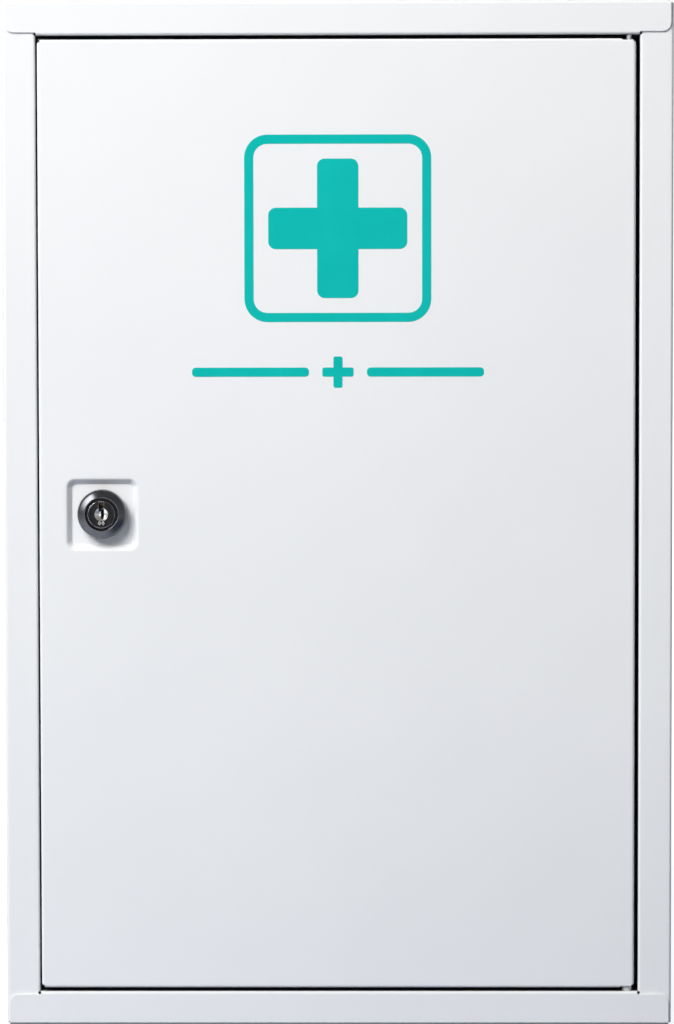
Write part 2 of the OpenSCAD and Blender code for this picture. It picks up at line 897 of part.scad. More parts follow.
module lock_cam() {
    arm_r = cam_w / 2;
    color(zinc) at_lock() difference() {
        intersection() {
            along_x(-cam_root_d, cam_root_d) cam_side();
            along_z(cam_back_z - cut, cam_tip_z + cut) {
                circle(d = cam_root_d);
                translate([-arm_r, arm_r - cam_l]) square([cam_w, cam_l - arm_r]);
                translate([0, arm_r - cam_l]) circle(arm_r);
            }
        }
        along_z(cam_back_z - cut, shoulder_z + cut) tail(slip);
    }
}

module cam_washer() {
    washer_r = cam_root_d / 2 - 2;
    color(zinc) at_lock() along_z(cam_back_z - cam_washer_t, cam_back_z) difference() {
        circle(washer_r);
        circle(washer_bore_r);
    }
}

module cam_screw() {
    seat_z = cam_back_z - cam_washer_t;
    shank_l = 8;
    slot_w = 1.2;
    slot_depth = 1.3;
    crown_r = screw_head_d; // radius of the head's domed face
    color(zinc) at_lock() {
        along_z(seat_z, seat_z + shank_l) circle(screw_d / 2);
        difference() {
            intersection() {
                along_z(seat_z - screw_head_h, seat_z) circle(screw_head_d / 2);
                translate([0, 0, seat_z - screw_head_h + crown_r]) sphere(crown_r);
            }
            translate([-screw_head_d, -slot_w / 2, seat_z - screw_head_h - cut])
                cube([2 * screw_head_d, slot_w, slot_depth + cut]);
        }
    }
}

top_panel();
bottom_panel();
left_side_panel();
right_side_panel();
back_panel();
upper_shelf();
lower_shelf();
upper_left_shelf_bracket();
upper_right_shelf_bracket();
lower_left_shelf_bracket();
lower_right_shelf_bracket();
upper_frame_hinge_plate();
lower_frame_hinge_plate();
upper_hinge_pin();
lower_hinge_pin();
hinge_collar();
upper_door_stop();
lower_door_stop();
upper_stop_bumper();
lower_stop_bumper();
door_panel();
upper_door_tray();
middle_door_tray();
lower_door_tray();
upper_door_hinge_plate();
lower_door_hinge_plate();
lock_housing();
lock_nut();
lock_washer();
lock_plug();
lock_wafers();
lock_cam();
cam_washer();
cam_screw();
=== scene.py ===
"""Finishes, printed sign, weld marks, lock detail and stage of a lockable medicine cabinet.

Laid out as a Blender add-on: each group of pieces is one operator, its sizes and colours are
scene properties, and a panel in the 3D view's sidebar lists them. Sizes are in metres, in the
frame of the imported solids: X to the right, Y into the cabinet, Z up, the front plane at -Y.
"""

import math

import bmesh
import bpy
from bpy.props import FloatProperty, FloatVectorProperty, PointerProperty
from bpy.types import Operator, Panel, PropertyGroup
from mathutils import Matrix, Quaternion, Vector


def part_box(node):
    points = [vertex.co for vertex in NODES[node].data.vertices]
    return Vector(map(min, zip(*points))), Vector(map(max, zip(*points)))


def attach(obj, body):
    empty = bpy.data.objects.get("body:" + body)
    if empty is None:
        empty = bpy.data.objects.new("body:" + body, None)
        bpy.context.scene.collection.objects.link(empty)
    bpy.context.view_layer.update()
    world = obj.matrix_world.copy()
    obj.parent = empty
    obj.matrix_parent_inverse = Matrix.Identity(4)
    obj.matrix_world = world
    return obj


bl_info = {
    "name": "Medicine Cabinet Finish",
    "version": (1, 0, 0),
    "blender": (4, 5, 0),
    "location": "3D View > Sidebar > Cabinet",
    "description": "Finishes, sign, weld marks, lock detail and stage of a medicine cabinet",
    "category": "Object",
}

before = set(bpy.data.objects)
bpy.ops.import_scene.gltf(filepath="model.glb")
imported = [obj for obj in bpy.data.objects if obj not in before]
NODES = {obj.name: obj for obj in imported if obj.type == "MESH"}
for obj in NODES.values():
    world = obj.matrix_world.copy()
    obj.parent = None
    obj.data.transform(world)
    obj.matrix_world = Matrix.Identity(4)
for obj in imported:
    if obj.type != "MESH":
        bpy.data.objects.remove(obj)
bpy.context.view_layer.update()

DOOR = "door"
CABINET = "cabinet"
CORE = "lock_core"

FRONT_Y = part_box("door_panel")[0].y
HEAD_LOW, HEAD_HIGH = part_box("lock_housing")
LOCK_X = (HEAD_LOW.x + HEAD_HIGH.x) / 2
LOCK_Z = (HEAD_LOW.z + HEAD_HIGH.z) / 2

TRAYS = ("upper_door_tray", "middle_door_tray", "lower_door_tray")
BRACKETS = (
    "upper_left_shelf_bracket", "upper_right_shelf_bracket",
    "lower_left_shelf_bracket", "lower_right_shelf_bracket",
)
COATED = (
    "top_panel", "bottom_panel", "left_side_panel", "right_side_panel", "back_panel",
    "upper_shelf", "lower_shelf", "door_panel", *TRAYS,
)
PLATED = (
    *BRACKETS,
    "upper_frame_hinge_plate", "lower_frame_hinge_plate",
    "upper_door_hinge_plate", "lower_door_hinge_plate",
    "upper_hinge_pin", "lower_hinge_pin", "upper_door_stop", "lower_door_stop",
    "lock_nut", "lock_washer", "lock_cam", "cam_washer", "cam_screw",
)


def mm(value):
    """Millimetres to metres."""
    return value * 0.001


MERGE_WITHIN = mm(0.002)  # vertices nearer than this become one
SPIN_STEPS = 24  # in the full turn of a small round form
SMOOTH_BELOW = math.radians(35.0)  # edges that fold by less are shaded smooth
NOISE_RANGE = (0.3, 0.7)  # where most values of a noise texture lie
GAP_RANGE = (0.12, 0.5)  # open share of the surroundings: deep in a gap, and out of it


# ---------- Sizes and colours ----------


def colour_prop(name, description, default):
    return FloatVectorProperty(
        name=name, description=description, default=default,
        subtype="COLOR", size=3, min=0.0, max=1.0,
    )


def length_prop(name, description, millimetres):
    return FloatProperty(
        name=name, description=description, default=mm(millimetres),
        min=0.0, subtype="DISTANCE", unit="LENGTH",
    )


def factor_prop(name, description, default):
    return FloatProperty(
        name=name, description=description, default=default, min=0.0, max=1.0, subtype="FACTOR",
    )


class CoatSettings(PropertyGroup):
    """Powder coat of the folded steel sheet"""

    colour: colour_prop("Colour", "Colour of the powder coat", (0.84, 0.842, 0.838))
    shade: colour_prop("Shade", "Colour of the coat's faint cloudiness", (0.813, 0.816, 0.814))
    roughness: factor_prop("Roughness", "Roughness of the coat", 0.42)
    peel: length_prop("Peel height", "Height of the fine orange-peel texture", 0.02)
    edge: length_prop("Edge radius", "Radius that the coat gives to sheared edges", 0.3)
    # Painted shade: the coat's colour and its gloss are darkened deep in gaps and crevices, where
    # shade falls
    gap_reach: length_prop("Gap reach", "How near a facing wall darkens the coat", 12.0)
    gap_shade: factor_prop("Gap shade", "What is left of the colour deep in a gap", 0.06)


class FittingSettings(PropertyGroup):
    """Plated, moulded and rubber fittings"""

    zinc: colour_prop("Zinc", "Colour of the zinc plating", (0.60, 0.61, 0.63))
    brass: colour_prop("Brass", "Colour of the brass wafers", (0.16, 0.13, 0.075))
    nylon: colour_prop("Nylon", "Colour of the hinge collar", (0.80, 0.80, 0.78))
    rubber: colour_prop("Rubber", "Colour of the stop bumpers", (0.022, 0.022, 0.024))


class SignSettings(PropertyGroup):
    """Printed sign on the door"""

    ink: colour_prop("Ink", "Colour of the printed sign", (0.002, 0.455, 0.405))
    height: length_prop("Height", "Height of the sign's middle above the base", 358.9)
    box: length_prop("Outline", "Outside width of the square outline", 83.6)
    stroke: length_prop("Stroke", "Width of the outline's line", 4.1)
    corner: length_prop("Corner", "Outside corner radius of the outline", 10.3)
    arms: length_prop("Arms", "Length of the cross from end to end", 62.2)
    arm_w: length_prop("Arm width", "Width of the arms of the cross", 18.5)
    arm_r: length_prop("Arm corner", "Corner radius at the ends of the arms", 3.4)
    film: length_prop("Film", "Thickness of the ink", 0.06)
    rule_drop: length_prop("Rule drop", "Distance from the sign's middle to the rule", 64.2)
    rule_w: length_prop("Rule width", "Overall width of the rule under the sign", 130.8)


class WeldSettings(PropertyGroup):
    """Marks of the spot welds that join the sheets"""

    radius: length_prop("Radius", "Radius of a spot weld's mark", 3.0)
    rim: length_prop("Rim", "Height of the coat's rim round a mark", 0.22)
    inset: length_prop("Inset", "Distance of the back panel's welds from its edges", 6.0)


class LockSettings(PropertyGroup):
    """Cam lock"""

    nickel: colour_prop("Nickel", "Colour of the black nickel housing", (0.088, 0.090, 0.100))
    plug: colour_prop("Plug", "Colour of the plug's brushed face", (0.015, 0.015, 0.016))
    steel: colour_prop("Steel", "Colour of the plug's rubbed edges", (0.72, 0.71, 0.69))
    rub: length_prop("Rub", "Width of the rubbed edges", 0.22)
    dimple: length_prop("Dimple", "Radius of the polished dimple in the plug's face", 2.9)
    pitch: length_prop("Pitch", "Pitch of the thread on the housing's barrel", 1.0)
    thread: length_prop("Thread", "Height of the thread above the barrel", 0.14)
    flats: length_prop("Flats", "Distance between the flats of the barrel", 16.0)
    stamp: length_prop("Stamp", "Height of the two stamped marks on the plug's face", 1.9)


class StageSettings(PropertyGroup):
    """Floor, lights and camera"""

    floor: colour_prop("Floor", "Colour of the floor round the cabinet", (0.17, 0.21, 0.31))
    floor_far: colour_prop("Far floor", "Colour of the floor further off", (0.14, 0.155, 0.175))
    lift: factor_prop("Lift", "White that the floor shows besides the lamps' light", 0.84)
    key: FloatProperty(name="Key", description="Power of the key light", default=58.6,
                       min=0.0, unit="POWER")
    fill: FloatProperty(name="Fill", description="Power of the fill light beside the camera",
                        default=4.4, min=0.0, unit="POWER")
    sky: factor_prop("Sky", "Strength of the even light from all round", 0.05)
    rear: factor_prop("Rear", "Strength of the even light from behind", 1.0)
    # Painted reflection: a room that only glossy rays see, and that lights nothing
    painted_room: factor_prop("Room", "Brightness of the room behind the camera in reflections", 0.5)
    # Painted reflection: a soft box that only glossy rays see, in place of the key lamp's own
    # reflection; it lights nothing
    painted_card: FloatProperty(name="Card", description="Brightness of the key's soft box in reflections",
                        default=10.0, min=0.0)
    card_edge: FloatProperty(name="Card edge", description="Turn of the soft box's right edge",
                             default=math.radians(33.0), subtype="ANGLE", unit="ROTATION")
    card_fade: FloatProperty(name="Card fade", description="Turn at which the soft box fades out",
                             default=math.radians(84.0), subtype="ANGLE", unit="ROTATION")
    lens: FloatProperty(name="Lens", description="Focal length on the long side of the picture",
                        default=117.62, min=10.0)
    roll: FloatProperty(name="Roll", description="Turn of the camera about its own axis",
                        default=math.radians(-0.091), subtype="ANGLE", unit="ROTATION")


# ---------- Node helpers ----------


def start_material(name):
    """New node material: its tree, its shader, and its Object coordinates."""
    mat = bpy.data.materials.new(name)
    mat.use_nodes = True
    tree = mat.node_tree
    coords = tree.nodes.new("ShaderNodeTexCoord").outputs["Object"]
    return mat, tree, tree.nodes["Principled BSDF"], coords


def set_inputs(tree, node, inputs):
    """Links the sockets and writes the constants among a node's inputs."""
    for key, value in inputs.items():
        if isinstance(value, bpy.types.NodeSocket):
            tree.links.new(value, node.inputs[key])
        else:
            node.inputs[key].default_value = value


def add_node(tree, kind, inputs=None, **settings):
    """New node with its settings, its constant inputs and its linked inputs."""
    node = tree.nodes.new(kind)
    for key, value in settings.items():
        setattr(node, key, value)
    set_inputs(tree, node, inputs or {})
    return node


def noise(tree, coords, scale, detail=2.0, roughness=0.5):
    return add_node(tree, "ShaderNodeTexNoise", {
        "Vector": coords, "Scale": scale, "Detail": detail, "Roughness": roughness,
    }).outputs["Fac"]


def maths(tree, operation, first, second):
    return add_node(tree, "ShaderNodeMath", {0: first, 1: second}, operation=operation).outputs[0]


def split(tree, vector):
    return add_node(tree, "ShaderNodeSeparateXYZ", {"Vector": vector}).outputs


def length_of(tree, vector):
    return add_node(tree, "ShaderNodeVectorMath", {0: vector}, operation="LENGTH").outputs["Value"]


def spread(tree, value, low, high, to_low=0.0, to_high=1.0):
    """Maps low..high of a value to to_low..to_high."""
    return add_node(tree, "ShaderNodeMapRange", {
        "Value": value, "From Min": low, "From Max": high, "To Min": to_low, "To Max": to_high,
    }).outputs["Result"]


def varied(tree, pattern, first, second):
    """Value that varies from first to second with a noise pattern."""
    return spread(tree, pattern, *NOISE_RANGE, first, second)


def blend_colours(tree, factor, first, second):
    return add_node(tree, "ShaderNodeMix", {0: factor, 6: first, 7: second},
                    data_type="RGBA").outputs[2]


def blend_values(tree, factor, first, second):
    return add_node(tree, "ShaderNodeMix", {0: factor, 2: first, 3: second},
                    data_type="FLOAT").outputs[0]


def rgba(colour):
    return (*colour, 1.0)


def tinted(colour, factor, added=0.0):
    """Colour made lighter or darker, and kept within white."""
    return tuple(min(1.0, factor * c + added) for c in colour)


def mottled(tree, pattern, first, second, covered=NOISE_RANGE):
    """Colour that varies from first to second over the covered range of a pattern."""
    return blend_colours(tree, spread(tree, pattern, *covered), rgba(first), rgba(second))


def bump(tree, height, distance, strength, normal=None):
    inputs = {"Height": height, "Distance": distance, "Strength": strength}
    if normal is not None:
        inputs["Normal"] = normal
    return add_node(tree, "ShaderNodeBump", inputs).outputs["Normal"]


def rounded(tree, radius, samples):
    """Normal of a surface whose edges are rounded to a radius."""
    return add_node(tree, "ShaderNodeBevel", {"Radius": radius}, samples=samples).outputs["Normal"]


def stretched(tree, coords, scale, turn=0.0):
    """Coordinates scaled by axis, after a turn about Y."""
    return add_node(tree, "ShaderNodeMapping", {
        "Vector": coords, "Rotation": (0.0, turn, 0.0), "Scale": scale,
    }).outputs[0]


def rubbed_edges(tree, radius):
    """Softened normal, and a mask that is 1 where the surface turns within the radius."""
    soft = rounded(tree, radius, 8)
    flat = tree.nodes.new("ShaderNodeNewGeometry").outputs["Normal"]
    match = add_node(tree, "ShaderNodeVectorMath", {0: soft, 1: flat},
                     operation="DOT_PRODUCT").outputs["Value"]
    return soft, spread(tree, match, 0.995, 0.93)


def shade_gaps(tree, colour, reach, left):
    """Paints shade into a colour: darkens it where other surfaces stand nearer than reach."""
    open_air = add_node(tree, "ShaderNodeAmbientOcclusion", {"Distance": reach},
                        samples=8).outputs["AO"]
    deep = spread(tree, open_air, *GAP_RANGE, left, 1.0)
    return blend_colours(tree, deep, (0.0, 0.0, 0.0, 1.0), colour), open_air


def off_axis(tree, coords, x, z):
    """Distance from an axis along Y, and the place along it."""
    parts = split(tree, coords)
    flat = add_node(tree, "ShaderNodeCombineXYZ", {"X": parts["X"], "Y": parts["Z"]}).outputs[0]
    away = add_node(tree, "ShaderNodeVectorMath", {0: flat, 1: (x, z, 0.0)},
                    operation="DISTANCE").outputs["Value"]
    return away, parts["Y"]


# ---------- Materials ----------


def powder_coat(coat):
    """White textured coat: faint clouds, fine orange peel, soft edges, and painted shade deep in
    gaps.
    """
    mat, tree, shader, coords = start_material("powder_coat_finish")
    clouds = mottled(tree, noise(tree, coords, 9.0, 3.0), coat.colour, coat.shade)
    # Painted shade: the colour darkens where nearby surfaces close round it, in the gaps round the
    # door and the seams between sheets
    colour, open_air = shade_gaps(tree, clouds, coat.gap_reach, coat.gap_shade)
    peel = noise(tree, coords, 620.0, 2.0, 0.45)
    grain = noise(tree, coords, 2600.0, 1.0)
    peeled = bump(tree, peel, coat.peel, 0.55, rounded(tree, coat.edge, 6))
    set_inputs(tree, shader, {
        "Base Color": colour,
        "Roughness": varied(tree, noise(tree, coords, 35.0, 3.0),
                            coat.roughness - 0.04, coat.roughness + 0.05),
        # Painted shade on the gloss: the specular level falls to nothing deep in gaps
        "Specular IOR Level": spread(tree, open_air, *GAP_RANGE, 0.0, 0.3),
        "IOR": 1.5,
        "Normal": bump(tree, grain, coat.peel * 0.3, 0.5, peeled),
    })
    return mat


def zinc_plate(fittings):
    """Bright zinc: faint rolled streaks and mottled gloss."""
    mat, tree, shader, coords = start_material("zinc_plate_finish")
    streaks = noise(tree, stretched(tree, coords, (1.0, 1.0, 14.0)), 160.0, 3.0)
    bloom = noise(tree, coords, 240.0, 2.0)
    set_inputs(tree, shader, {
        "Base Color": mottled(tree, bloom, fittings.zinc, tinted(fittings.zinc, 0.82),
                              (0.3, 0.75)),
        "Metallic": 1.0,
        "Roughness": varied(tree, streaks, 0.26, 0.42),
        "Normal": bump(tree, streaks, mm(0.01), 0.5, rounded(tree, mm(0.15), 4)),
    })
    return mat


def cast_nickel(lock):
    """Black nickel over a die casting, with painted shade in its crevices."""
    mat, tree, shader, coords = start_material("black_nickel_finish")
    mottle = noise(tree, coords, 420.0, 3.0)
    plated = mottled(tree, mottle, lock.nickel, tinted(lock.nickel, 1.25), (0.35, 0.7))
    # Painted shade: the plating's colour darkens within 3 mm of facing surfaces
    colour, open_air = shade_gaps(tree, plated, mm(3.0), 0.02)
    pits = noise(tree, coords, 1500.0, 1.0)
    set_inputs(tree, shader, {
        "Base Color": colour,
        "Metallic": 1.0,
        "Roughness": varied(tree, mottle, 0.17, 0.26),
        # Painted shade on the gloss: the clear coat fades out in crevices
        "Coat Weight": spread(tree, open_air, 0.3, 0.7, 0.0, 0.3),
        "Coat Roughness": 0.1,
        "Normal": bump(tree, pits, mm(0.006), 0.5, rounded(tree, mm(0.12), 4)),
    })
    return mat


def brushed_plug(lock):
    """Dark plug: hatched face, rubbed edges, a polished dimple, and painted shade in the keyway
    and round the plug.
    """
    mat, tree, shader, coords = start_material("dark_plug_finish")
    low, high = Vector(NODES["lock_plug"].bound_box[0]), Vector(NODES["lock_plug"].bound_box[6])
    away, depth = off_axis(tree, coords, (low.x + high.x) / 2, (low.z + high.z) / 2)
    strokes = (9.0, 1.0, 1.0)
    hatch = maths(
        tree, "ADD", noise(tree, stretched(tree, coords, strokes), 420.0, 2.0),
        noise(tree, stretched(tree, coords, strokes, math.radians(50.0)), 420.0, 2.0))
    face = mottled(tree, hatch, lock.plug, tinted(lock.plug, 2.6), (0.8, 1.3))
    soft, edge = rubbed_edges(tree, lock.rub)
    inside = spread(tree, away, lock.dimple + mm(0.1), lock.dimple)
    shallow = spread(tree, depth, low.y + mm(1.6), low.y + mm(1.3))
    normal = tree.nodes["Texture Coordinate"].outputs["Normal"]
    outward = spread(tree, split(tree, normal)["Y"], -0.3, -0.5)
    dimple = maths(tree, "MULTIPLY", inside, maths(tree, "MULTIPLY", shallow, outward))
    bare = maths(tree, "MAXIMUM", dimple, edge)
    worn = blend_colours(tree, bare, face, rgba(lock.steel))
    brushed = spread(tree, hatch, 0.8, 1.2, 0.26, 0.40)
    set_inputs(tree, shader, {
        # Painted shade: the colour darkens in the keyway and in the gap round the plug
        "Base Color": shade_gaps(tree, worn, mm(3.0), 0.03)[0],
        "Metallic": 1.0,
        "Roughness": blend_values(tree, bare, brushed, 0.2),
        "Normal": bump(tree, hatch, mm(0.015), 0.6, soft),
    })
    return mat


def worn_steel(lock):
    """Bright steel of the stamped marks, with fine scratches."""
    mat, tree, shader, coords = start_material("worn_steel_finish")
    scratches = noise(tree, stretched(tree, coords, (6.0, 1.0, 1.0)), 900.0, 3.0)
    set_inputs(tree, shader, {
        "Base Color": mottled(tree, scratches, lock.steel, tinted(lock.steel, 0.7)),
        "Metallic": 1.0,
        "Roughness": varied(tree, scratches, 0.3, 0.45),
        "Normal": bump(tree, scratches, mm(0.01), 0.5),
    })
    return mat


def brass_wafer(fittings):
    """Dark brass with a mottled tarnish, seen at the bottom of the keyway, and painted shade where
    the keyway closes round it.
    """
    mat, tree, shader, coords = start_material("brass_finish")
    tarnish = noise(tree, coords, 500.0, 3.0)
    colour = mottled(tree, tarnish, fittings.brass, tinted(fittings.brass, 0.6), (0.35, 0.7))
    set_inputs(tree, shader, {
        # Painted shade: the colour darkens where the keyway's walls close round the wafers
        "Base Color": shade_gaps(tree, colour, mm(4.0), 0.04)[0],
        "Metallic": 1.0,
        "Roughness": varied(tree, tarnish, 0.25, 0.45),
        "Normal": bump(tree, tarnish, mm(0.01), 0.4),
    })
    return mat


def moulded(name, colour, roughness, grain_scale, grain_height):
    """Moulded plastic or rubber with a fine grain."""
    mat, tree, shader, coords = start_material(name)
    grain = noise(tree, coords, grain_scale, 3.0)
    set_inputs(tree, shader, {
        "Base Color": mottled(tree, grain, colour, tinted(colour, 1.12, 0.004)),
        "Roughness": varied(tree, grain, roughness - 0.05, roughness + 0.05),
        "Normal": bump(tree, grain, grain_height, 0.5, rounded(tree, mm(0.25), 4)),
    })
    return mat


def screen_ink(sign, coat):
    """Screen-printed ink: even colour with faint density changes, over the coat's peel."""
    mat, tree, shader, coords = start_material("sign_print_finish")
    density = noise(tree, coords, 60.0, 4.0)
    peel = noise(tree, coords, 620.0, 2.0, 0.45)
    set_inputs(tree, shader, {
        "Base Color": mottled(tree, density, sign.ink, tinted(sign.ink, 1.05, 0.003)),
        "Roughness": varied(tree, density, 0.38, 0.46),
        "Specular IOR Level": 0.08,
        "Normal": bump(tree, peel, coat.peel, 0.5),
    })
    return mat


def assign(names, mat):
    """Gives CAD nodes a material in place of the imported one."""
    for name in names:
        slots = NODES[name].data.materials
        slots.clear()
        slots.append(mat)


# ---------- Mesh helpers ----------


def finish_piece(name, bm, mat, body):
    """Makes the bmesh an object at the origin, riding on a body."""
    bmesh.ops.remove_doubles(bm, verts=bm.verts, dist=MERGE_WITHIN)
    bmesh.ops.recalc_face_normals(bm, faces=bm.faces)
    for face in bm.faces:
        face.smooth = True
    for edge in bm.edges:
        edge.smooth = len(edge.link_faces) != 2 or edge.calc_face_angle(0.0) < SMOOTH_BELOW
    mesh = bpy.data.meshes.new(name)
    bm.to_mesh(mesh)
    bm.free()
    mesh.materials.append(mat)
    obj = bpy.data.objects.new(name, mesh)
    bpy.context.scene.collection.objects.link(obj)
    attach(obj, body)


def spun(bm, profile, centre, axis):
    """Full turn of a (radius, height) profile about an axis through centre."""
    across = axis.orthogonal().normalized()
    chain = [bm.verts.new(centre + radius * across + height * axis) for radius, height in profile]
    edges = [bm.edges.new(pair) for pair in zip(chain, chain[1:])]
    bmesh.ops.spin(bm, geom=chain + edges, cent=centre, axis=axis, dvec=(0.0, 0.0, 0.0),
                   angle=2.0 * math.pi, steps=SPIN_STEPS, use_merge=True, use_duplicate=False)


def row(low, high, margin, count):
    """Evenly spaced values between low and high, with a margin at both ends."""
    first, last = low + margin, high - margin
    return [first + (last - first) * i / (count - 1) for i in range(count)]


def new_verts(grown):
    """Vertices among what a bmesh operator made."""
    return [g for g in grown["geom"] if isinstance(g, bmesh.types.BMVert)]


def rectangle(bm, cx, cz, w, h):
    """Upright rectangular face that looks towards -Y."""
    return bm.faces.new([bm.verts.new((cx + sx * w / 2, 0.0, cz + sz * h / 2))
                         for sx, sz in ((-1, -1), (1, -1), (1, 1), (-1, 1))])


def round_corners(bm, verts, radius, segments):
    bmesh.ops.bevel(
        bm, geom=verts, offset=radius, offset_type="OFFSET", segments=segments,
        profile=0.5, affect="VERTICES", material=-1, clamp_overlap=False,
    )


def thicken(bm, height):
    """Turns flat upright faces into a solid that stands out towards -Y."""
    grown = bmesh.ops.extrude_face_region(bm, geom=bm.faces[:], use_keep_orig=True)
    bmesh.ops.translate(bm, vec=(0.0, -height, 0.0), verts=new_verts(grown))


def thicken_print(bm, film):
    """Turns flat upright faces into a film that stands on the door's face."""
    for vert in bm.verts:
        vert.co.y = FRONT_Y
    thicken(bm, film)


# ---------- Operators ----------


class CABINET_OT_coat_sheet(Operator):
    """Give the folded sheet its powder coat"""

    bl_idname = "cabinet.coat_sheet"
    bl_label = "Coat Sheet"

    def execute(self, context):
        assign(COATED, powder_coat(context.scene.cabinet_coat))
        return {"FINISHED"}


class CABINET_OT_finish_fittings(Operator):
    """Give the hinges, brackets, stops and lock hardware their finishes"""

    bl_idname = "cabinet.finish_fittings"
    bl_label = "Finish Fittings"

    def execute(self, context):
        fittings = context.scene.cabinet_fittings
        assign(PLATED, zinc_plate(fittings))
        assign(("lock_wafers",), brass_wafer(fittings))
        assign(("hinge_collar",),
               moulded("nylon_finish", fittings.nylon, 0.4, 700.0, mm(0.01)))
        assign(("upper_stop_bumper", "lower_stop_bumper"),
               moulded("bumper_rubber_finish", fittings.rubber, 0.6, 900.0, mm(0.02)))
        return {"FINISHED"}


class CABINET_OT_print_sign(Operator):
    """Print the square outline, the cross and the rule on the door"""

    bl_idname = "cabinet.print_sign"
    bl_label = "Print Sign"

    RULE_CROSS = mm(14.0)  # length of the small cross in the rule
    RULE_GAP = mm(6.0)  # between that cross and each bar

    def execute(self, context):
        sign = context.scene.cabinet_sign
        ink = screen_ink(sign, context.scene.cabinet_coat)
        self.outline(sign, ink)
        self.cross(sign, ink, "sign_cross", sign.height, sign.arms, sign.arm_w, sign.arm_r)
        self.rule(sign, ink)
        return {"FINISHED"}

    @staticmethod
    def outline(sign, ink):
        bm = bmesh.new()
        rectangle(bm, 0.0, sign.height, sign.box, sign.box)
        round_corners(bm, bm.verts[:], sign.corner, 12)
        inner = bm.faces[:]
        bmesh.ops.inset_region(bm, faces=inner, thickness=sign.stroke, use_boundary=True,
                               use_even_offset=True)
        bmesh.ops.delete(bm, geom=inner, context="FACES")
        thicken_print(bm, sign.film)
        finish_piece("sign_outline", bm, ink, DOOR)

    @staticmethod
    def cross(sign, ink, name, cz, length, width, radius):
        """One face for the middle and one for each arm, merged and rounded at the ends."""
        bm = bmesh.new()
        reach = (length - width) / 2
        middle = rectangle(bm, 0.0, cz, width, width)
        for edge in list(middle.edges):
            out = (edge.verts[0].co + edge.verts[1].co) / 2 - Vector((0.0, 0.0, cz))
            grown = bmesh.ops.extrude_edge_only(bm, edges=[edge])
            bmesh.ops.translate(bm, vec=out.normalized() * reach, verts=new_verts(grown))
        bmesh.ops.dissolve_faces(bm, faces=bm.faces[:])
        ends = [v for v in bm.verts
                if max(abs(v.co.x), abs(v.co.z - cz)) > length / 2 - mm(0.01)]
        round_corners(bm, ends, radius, 8)
        thicken_print(bm, sign.film)
        finish_piece(name, bm, ink, DOOR)

    def rule(self, sign, ink):
        """Plain rule under the sign: a small cross between two bars."""
        cz = sign.height - sign.rule_drop
        self.cross(sign, ink, "sign_rule_cross", cz, self.RULE_CROSS, sign.stroke,
                   sign.stroke * 0.2)
        bar = (sign.rule_w - self.RULE_CROSS) / 2 - self.RULE_GAP
        bm = bmesh.new()
        for side in (-1, 1):
            rectangle(bm, side * (sign.rule_w - bar) / 2, cz, bar, sign.stroke)
        round_corners(bm, bm.verts[:], sign.stroke * 0.4, 8)
        thicken_print(bm, sign.film)
        finish_piece("sign_rule_bars", bm, ink, DOOR)


